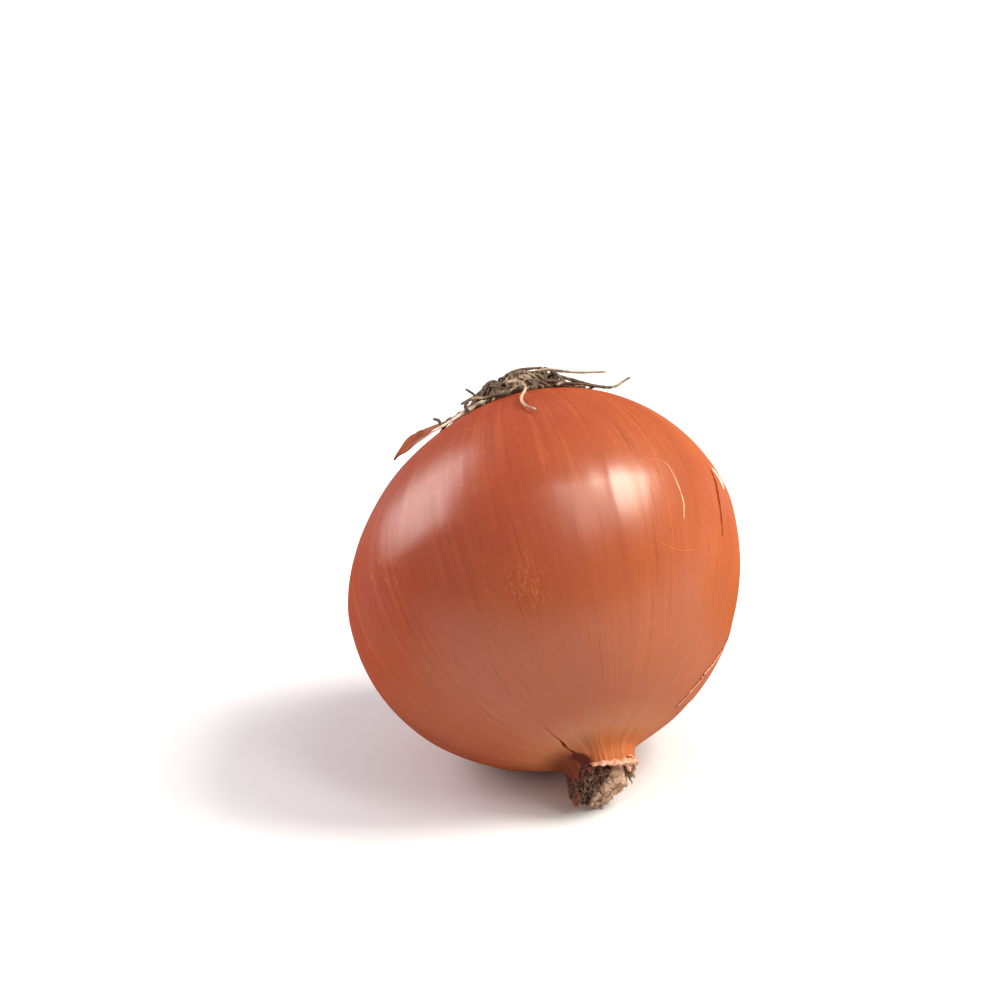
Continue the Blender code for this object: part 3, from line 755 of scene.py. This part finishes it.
# ---------------------------------------------------------------------------------------------------
# Root plate. The corky disc that the roots grew from, dried hard and knobbly.
# ---------------------------------------------------------------------------------------------------
PLATE_RADIUS = 0.0105
PLATE_HEIGHT = 0.0032
PLATE_CENTER = (0.0018, 0.0020)
PLATE_RAGGED = 0.06
PLATE_SIDES = 140
PLATE_UNDER_ROWS, PLATE_TOP_ROWS = 6, 44


def from_plate(distance, turn):
    """The place across the axis at a distance and a turn from the plate's middle."""
    return PLATE_CENTER[0] + distance * np.cos(turn), PLATE_CENTER[1] + distance * np.sin(turn)


def root_point(x, y, lift):
    """The point over the root end's skin above a place across the axis, lifted off the skin."""
    across = x - bend(-ROOT_HEIGHT)
    oval = 1 - OVALITY * np.sin(2 * np.arctan2(y, across))
    share = np.hypot(across, y) / oval / (BULB_RADIUS + lift)
    height = -(ROOT_HEIGHT + lift) * (1 - share ** 2) ** (1 / ROOT_FULLNESS)
    return np.stack(np.broadcast_arrays(x, y, height + FLANK_LEAN * x), axis=-1)


root_finish, root = new_finish("corky_root", {"Specular IOR Level": 0.25})
place = root.place()
grit = place.noise((900, 900, 900), 4, 0.65)
patch = place.noise((220, 220, 220), 3)
colour = patch.between(0.35, 0.68).mix((0.085, 0.052, 0.034), (0.24, 0.165, 0.105))
colour = (grit.between(0.45, 0.65) * 0.5).mix(colour, (0.33, 0.25, 0.17))
feed(root_finish, colour=colour, roughness=0.78 + grit * 0.15, relief=(grit, 0.00030))

under_rows = np.linspace(0.1, 1, PLATE_UNDER_ROWS)
top_rows = 1 - np.linspace(0, 1, PLATE_TOP_ROWS + 2)[1:-1] ** 1.3
upper = np.concatenate([np.zeros(PLATE_UNDER_ROWS), np.ones(PLATE_TOP_ROWS)])
plate_turns = np.arange(PLATE_SIDES) * (2 * pi / PLATE_SIDES)
share, turn = np.meshgrid(np.concatenate([under_rows, top_rows]), plate_turns, indexing="ij")
lobes = 0.6 * np.cos(3 * turn + 0.5) + 0.4 * np.cos(8 * turn)
outline = 1 + PLATE_RAGGED * lobes + 0.02 * np.cos(19 * turn)
x, y = from_plate(PLATE_RADIUS * outline * share, turn)
spot = np.stack([x, y], axis=-1)
knobs = 1 + 0.10 * crumple(spot, 0.0050, 81) + 0.12 * crumple(spot, 0.0021, 82)
knobs += 0.05 * crumple(spot, 0.0010, 83)
lift = 0.0001 + upper[:, None] * PLATE_HEIGHT * (1 - share ** 5) ** 0.6 * knobs
points, faces = capped_rings(root_point(x, y, lift))
outward = [face[::-1] for face in faces]        # the root end points down the axis, so the faces turn round
make_piece("root_plate", points, outward, root_finish, replaces=("root_mat",))

# ---------------------------------------------------------------------------------------------------
# Roots. Dried rootlets, wiry and wrinkled: a dozen long ones that run out over the skin, a few that loop
# back, and a felt of short curled ones all over the plate. They grew from the plate and start down in it.
# ---------------------------------------------------------------------------------------------------
ROOTLET_RADIUS = 0.00036
ROOTLET_STEPS = 30
ROOTLET_START = 0.55        # share of the plate's radius where a long rootlet leaves it
ROOTLET_KINK = 1.6          # degrees that it wanders by


def wiry_finish(name, dark, pale, share):
    """Dried root: dark and pale lengths, about that share of them pale, with fine dark wrinkles."""
    finish, start = new_finish(name, {"Specular IOR Level": 0.3})
    place = start.place()
    patch = place.noise((190, 190, 190), 3)
    wrinkle = place.noise((1500, 1500, 1500), 2)
    colour = patch.between(0.66 - share * 0.4, 0.86 - share * 0.4).mix(dark, pale)
    colour = (wrinkle.between(0.5, 0.7) * 0.5).mix(colour, tuple(part * 0.6 for part in dark))
    feed(finish, colour=colour, roughness=0.65 + patch * 0.2, relief=(wrinkle, 0.00012))
    return finish


rootlet_finish = wiry_finish("dry_rootlet", (0.110, 0.072, 0.050), (0.42, 0.315, 0.215), 0.42)
bleached_finish = wiry_finish("bleached_rootlet", (0.26, 0.185, 0.13), (0.56, 0.42, 0.31), 0.75)


def rootlet_path(leave, tip, reach, hover, seed):
    """A long rootlet's route: distance from the plate's middle grows evenly, the turn swings from leave to
    tip with the distance squared, and the height falls from the plate's top to the skin, then hovers."""
    along = np.linspace(0, 1, ROOTLET_STEPS)
    start = PLATE_RADIUS * ROOTLET_START
    distance = start + (reach - start) * along
    swing = 5 * np.sin(2 * pi * along) + ROOTLET_KINK * crumple(along[:, None], 0.9, seed, 8) * along
    turn = np.radians(leave + (tip - leave) * along ** 2 + swing)
    cover = 0.0036 / (1 + (distance / (PLATE_RADIUS * (1 + PLATE_RAGGED))) ** 8)
    bob = 0.00030 * crumple(along[:, None], 0.7, seed + 1, 8) * ease(along, 0.0, 0.3)
    lift = cover + 0.0005 + ROOTLET_RADIUS + hover * along ** 2 + np.abs(bob)
    return root_point(*from_plate(distance, turn), lift)


PLACED_ROOTLETS = (         # across x, across y and height over the skin, in mm
    ((5.0, 4.0, 4.6), (6.4, 6.0, 5.4), (8.0, 9.0, 4.9), (10.4, 11.0, 4.1), (13.2, 12.0, 3.8),
     (15.8, 13.0, 4.0), (18.5, 14.0, 4.5)),
    ((6.0, 4.5, 4.8), (7.6, 7.0, 5.6), (8.5, 9.0, 4.9), (8.9, 12.0, 3.0), (8.8, 15.0, 1.2), (9.0, 16.8, 0.7),
     (11.1, 17.4, 0.7), (13.3, 18.2, 0.6), (15.2, 20.0, 0.6)),
    ((-1.0, 8.0, 3.4), (-1.6, 13.0, 2.8), (-2.0, 18.0, 2.4), (-2.6, 22.4, 2.2), (-3.3, 24.9, 1.7),
     (-5.2, 26.6, 1.0), (-5.9, 28.8, 0.8), (-5.7, 30.7, 0.8), (-4.9, 32.4, 0.9)),
    ((-1.5, 3.0, 4.2), (-4.3, 6.0, 2.4), (-6.1, 7.0, 1.9), (-7.8, 8.0, 2.3), (-9.0, 8.0, 4.0),
     (-10.1, 8.0, 5.3)),
    ((9.0, 9.0, 3.6), (11.5, 14.0, 1.6), (13.4, 16.6, 0.8), (15.1, 17.9, 0.7), (17.4, 17.2, 1.0),
     (19.5, 16.0, 1.9), (21.2, 15.0, 3.1), (23.3, 14.0, 4.6)),
)
FAR_ROOTLETS = (            # turn where it leaves the plate, turn of its tip, reach and hover
    (8, 16, 0.0165, 0.0012),
    (340, 352, 0.0190, 0.0022),
    (312, 326, 0.0150, 0.0010),
    (284, 292, 0.0205, 0.0030),
    (254, 266, 0.0160, 0.0006),
    (226, 236, 0.0185, 0.0020),
    (204, 208, 0.0150, 0.0030),
)
BLEACHED_ROOTLETS = (1, 3)
LOOSE_ROOTLETS = (
    ((-5.5, 4.0, 3.3), (-7.1, 5.0, 3.5), (-8.9, 6.0, 3.2), (-11.4, 7.0, 2.9)),
    ((-11.4, 10.0, 0.6), (-11.6, 10.0, 1.9), (-10.5, 10.0, 2.6), (-8.9, 10.0, 2.2), (-7.1, 10.0, 1.5),
     (-4.8, 11.0, 1.2), (-2.3, 11.0, 1.6), (-1.2, 11.0, 2.3)),
    ((-0.7, 4.0, 5.4), (0.8, 5.0, 6.1), (2.8, 6.0, 6.3), (5.5, 6.0, 6.3), (7.6, 7.0, 6.0)),
    ((-15.0, 9.0, 0.9), (-16.8, 8.0, 1.2), (-17.3, 8.0, 2.4), (-18.0, 7.0, 3.4)),
    ((1.2, 9.0, 3.8), (2.0, 10.0, 3.9), (2.8, 11.0, 3.3), (2.9, 12.0, 2.2)),
    ((-3.0, 12.0, 1.2), (-5.0, 14.0, 0.9), (-6.2, 16.5, 1.1), (-5.6, 18.6, 0.9)),
    ((6.0, 14.0, 1.6), (7.4, 18.0, 0.9), (6.4, 21.0, 1.2), (4.4, 22.4, 0.9)),
)
LOOSE_ROOTLET_RADIUS = 0.00040


def hand_placed(route, steps):
    """A path over the root end's skin: a few points in mm, carried to many by cubic (Catmull-Rom) spans."""
    route = np.array(route, float)
    ends = np.concatenate([2 * route[:1] - route[1:2], route, 2 * route[-1:] - route[-2:-1]])
    place = np.linspace(0, len(route) - 1.0001, steps)
    span, t = place.astype(int), (place % 1)[:, None]
    before, start, end, after = (ends[span + shift] for shift in range(4))
    spans = 0.5 * (2 * start + (end - before) * t + (2 * before - 5 * start + 4 * end - after) * t ** 2
                   + (3 * start - 3 * end + after - before) * t ** 3)
    return root_point(*(spans * 0.001).T)


paths = [hand_placed(route, ROOTLET_STEPS) for route in PLACED_ROOTLETS]
far_numbers = range(len(PLACED_ROOTLETS) + 1, len(PLACED_ROOTLETS) + 1 + len(FAR_ROOTLETS))
paths += [rootlet_path(*far, 200 + 3 * number) for number, far in zip(far_numbers, FAR_ROOTLETS)]
along = np.linspace(0, 1, ROOTLET_STEPS)
for number, path in enumerate(paths, 1):
    radii = ROOTLET_RADIUS * (1.15 - 0.5 * along) * (1 + 0.12 * crumple(along[:, None], 0.09, 90 + number, 8))
    points, faces = strand_mesh(path[None], radii[None], 8)
    finish = bleached_finish if number in BLEACHED_ROOTLETS else rootlet_finish
    make_piece(f"long_rootlet_{number:02d}", points, faces, finish,
               replaces=(f"rootlet_{number:02d}",))

paths = np.stack([hand_placed(route, ROOTLET_STEPS) for route in LOOSE_ROOTLETS])
radii = LOOSE_ROOTLET_RADIUS * (1.1 - 0.4 * along) * (1 + 0.12 * crumple(along[:, None], 0.09, 88, 8))
points, faces = strand_mesh(paths, radii * np.ones((len(paths), 1)), 8)
make_piece("looped_rootlets", points, faces, rootlet_finish)

CURLS, CURL_STEPS = 150, 16

draw = np.random.default_rng(19)
along = np.linspace(0, 1, CURL_STEPS)
out = PLATE_RADIUS * np.sqrt(draw.uniform(0, 0.95, (CURLS, 1)))
bearing = draw.uniform(0, 2 * pi, (CURLS, 1))
start_x, start_y = from_plate(out, bearing)
heading = bearing + draw.normal(0, 0.9, (CURLS, 1)) + draw.normal(0, 1.6, (CURLS, 1)) * along
heading = heading + draw.normal(0, 0.9, (CURLS, 1)) * np.sin(2 * pi * along + draw.uniform(0, 6, (CURLS, 1)))
stride = draw.uniform(0.004, 0.012, (CURLS, 1)) / CURL_STEPS
x = start_x + np.cumsum(np.cos(heading), axis=1) * stride
y = start_y + np.cumsum(np.sin(heading), axis=1) * stride
away = np.hypot(x - PLATE_CENTER[0], y - PLATE_CENTER[1])
cover = PLATE_HEIGHT * np.clip(1 - (away / (PLATE_RADIUS * 1.05)) ** 4, 0, 1) ** 0.6
arch = draw.uniform(0.0003, 0.0022, (CURLS, 1)) * np.sin(pi * along ** 0.8)
lift = cover + 0.0003 + arch - 0.0008 * (along < 0.08)
paths = root_point(x, y, lift)
radii = draw.uniform(0.00022, 0.00046, (CURLS, 1)) * (1.05 - 0.45 * along)
points, faces = strand_mesh(paths, radii, 6)
make_piece("root_felt", points, faces, rootlet_finish)

# ---------------------------------------------------------------------------------------------------
# Loose flake. A strip of outer skin that has split off beside the roots: papery, silvery along its torn
# edge, and curling away from the bulb into a red-brown leaf-like tip.
# ---------------------------------------------------------------------------------------------------
FLAKE_START_TURN = radians(151)     # where it comes out from the plate's edge
FLAKE_TURN = radians(198)           # the way it points
FLAKE_REACH = 0.0190
FLAKE_WIDTH = 0.0098
FLAKE_WALL = 0.00025
FLAKE_LIFT = 0.0024
FLAKE_CURL = 0.0050
FLAKE_ROWS, FLAKE_COLUMNS = 60, 24
FOLD_RADIUS = 0.00052
FOLD_STEPS = 40
FOLD_ROUTE = ((-6.2, 7.6, 1.3), (-9.4, 8.5, 0.9), (-11.5, 9.0, 0.8), (-13.4, 9.0, 0.7), (-15.3, 9.0, 0.7),
              (-17.5, 9.0, 0.9), (-19.5, 9.0, 1.3))     # the flake's near edge, rolled over on itself

along, across = unit_grid(FLAKE_ROWS, FLAKE_COLUMNS)
leave = PLATE_RADIUS * (1 + PLATE_RAGGED) + 0.0006
width = FLAKE_WIDTH * (0.14 * (1 - along) + np.sin(pi * along ** 0.85) ** 0.8 * 0.80 + 0.01)
ragged = 1 + 0.05 * crumple(along[..., None], 0.12, 95) * (2 * across - 1)
x = PLATE_CENTER[0] + leave * cos(FLAKE_START_TURN) + FLAKE_REACH * along * cos(FLAKE_TURN)
y = PLATE_CENTER[1] + leave * sin(FLAKE_START_TURN) + FLAKE_REACH * along * sin(FLAKE_TURN)
x = x - width * ragged * across * sin(FLAKE_TURN)
y = y + width * ragged * across * cos(FLAKE_TURN)
waves = 0.00018 * crumple(np.stack([along * 3, across], axis=-1), 0.8, 96) * along
curl = FLAKE_CURL * across ** 1.3 * (0.3 + 0.7 * along) * (1 - along ** 5)
lift = 0.0008 + FLAKE_LIFT * along ** 2 + curl + waves

flake_finish, flaking = new_finish("loose_flake", {"Specular IOR Level": 0.12, "Coat Roughness": 0.3,
                                                   "Coat Weight": 0.04})
sheet = flaking.mark("sheet", vector=True)
streak = sheet.noise((1.5, 22, 0), 3)
blotch = sheet.noise((4, 3, 0), 3)
colour = blotch.between(0.35, 0.65).mix((0.15, 0.030, 0.011), (0.30, 0.070, 0.024))
colour = (streak.between(0.5, 0.7) * 0.5).mix(colour, (0.15, 0.04, 0.02))
silver = (1 - sheet.part("Y").between(0.02, 0.22)) * (1 - sheet.part("X").between(0.45, 0.85))
colour = silver.mix(colour, (0.72, 0.62, 0.55))
feed(flake_finish, colour=colour, roughness=0.55 + blotch * 0.2, relief=(streak, 0.00012))
marks = {"sheet": np.stack([along, across, 0 * along], axis=-1).reshape(-1, 3)}
make_piece("loose_flake", root_point(x, y, lift).reshape(-1, 3), grid_faces(FLAKE_ROWS, FLAKE_COLUMNS),
           flake_finish, marks, wall=FLAKE_WALL, replaces=("skin_flake",))

fold_finish, folded = new_finish("silvery_fold", {"Specular IOR Level": 0.4})
place = folded.place()
blotch = place.noise((330, 330, 330), 3, 0.6)
streak = place.noise((2200, 500, 2200), 2)
colour = blotch.between(0.38, 0.62).mix((0.34, 0.235, 0.18), (0.70, 0.62, 0.56))
feed(fold_finish, colour=colour, roughness=0.42 + blotch * 0.2, relief=(streak, 0.00010))
along = np.linspace(0, 1, FOLD_STEPS)
radii = FOLD_RADIUS * (1.0 - 0.55 * along) * (1 + 0.10 * crumple(along[:, None], 0.2, 97, 8))
points, faces = strand_mesh(hand_placed(FOLD_ROUTE, FOLD_STEPS)[None], radii[None], 10)
make_piece("flake_fold", points, faces, fold_finish)

# ---------------------------------------------------------------------------------------------------
# Floor, lights and camera. A pale floor, a warm softbox high on the right with a tall weaker one in front
# of it, a broad window up on the left, a faint warm fill that leaves no highlight, and a soft surround.
# ---------------------------------------------------------------------------------------------------
FLOOR_SIZE = 8.0
CAMERA_DISTANCE = 0.627
CAMERA_AZIMUTH = radians(-19.2)
CAMERA_ELEVATION = radians(21.5)
AIM_LEFT, AIM_UP = 0.00884, 0.0136      # where the camera looks, from the bulb's middle
SURROUND = 0.42

right = Vector((cos(CAMERA_AZIMUTH), sin(CAMERA_AZIMUTH), 0))
back = Vector((sin(CAMERA_AZIMUTH) * cos(CAMERA_ELEVATION), -cos(CAMERA_AZIMUTH) * cos(CAMERA_ELEVATION),
               sin(CAMERA_ELEVATION)))
above = back.cross(right)
middle = Vector(axis_place)

half = FLOOR_SIZE / 2
floor_mesh = bpy.data.meshes.new("floor")
floor_corners = [(-half, -half, 0), (half, -half, 0), (half, half, 0), (-half, half, 0)]
floor_mesh.from_pydata(floor_corners, [], [(0, 1, 2, 3)])
floor = bpy.data.objects.new("floor", floor_mesh)
bpy.context.scene.collection.objects.link(floor)
floor_finish, _ = new_finish("pale_floor", {"Base Color": (0.77, 0.80, 0.87, 1), "Roughness": 0.7})
floor_mesh.materials.append(floor_finish)

world = bpy.data.worlds.new("surround")
world.use_nodes = True
world.node_tree.nodes["Background"].inputs["Color"].default_value = (1.0, 0.985, 0.97, 1)
world.node_tree.nodes["Background"].inputs["Strength"].default_value = SURROUND
bpy.context.scene.world = world


def softbox(name, toward, distance, width, height, power, colour):
    """An area light that faces the bulb, from a direction given along the camera's right, above and back."""
    lamp = bpy.data.lights.new(name, "AREA")
    lamp.shape = "RECTANGLE"
    lamp.size = width
    lamp.size_y = height
    lamp.energy = power
    lamp.color = colour
    light = bpy.data.objects.new(name, lamp)
    direction = (right * toward[0] + above * toward[1] + back * toward[2]).normalized()
    light.location = middle + direction * distance
    light.rotation_euler = direction.to_track_quat("Z", "Y").to_euler()
    light.visible_camera = False
    bpy.context.scene.collection.objects.link(light)
    return light


softbox("key_softbox", (0.66, 0.69, 0.25), 1.90, 0.80, 0.95, 47.5, (1.0, 0.97, 0.81))
softbox("halo_softbox", (0.37, 0.63, 0.66), 1.90, 0.42, 1.30, 9.5, (1.0, 0.94, 0.82))
softbox("left_window", (-0.81, 0.54, -0.26), 1.80, 1.35, 1.25, 30.0, (1.0, 0.90, 0.86))
softbox("warm_fill", (-0.75, 0.15, 0.65), 1.60, 1.20, 1.20, 5.0, (1.0, 0.62, 0.40)).visible_glossy = False

camera_data = bpy.data.cameras.new("camera")
camera_data.lens = 110
camera_data.sensor_width = 36
camera = bpy.data.objects.new("camera", camera_data)
camera.location = middle + back * CAMERA_DISTANCE
aim = middle - right * AIM_LEFT + above * AIM_UP
camera.rotation_euler = (camera.location - aim).to_track_quat("Z", "Y").to_euler()
camera_data.clip_start = 0.01
bpy.context.scene.collection.objects.link(camera)
bpy.context.scene.camera = camera
bpy.context.scene.view_settings.view_transform = "Standard"
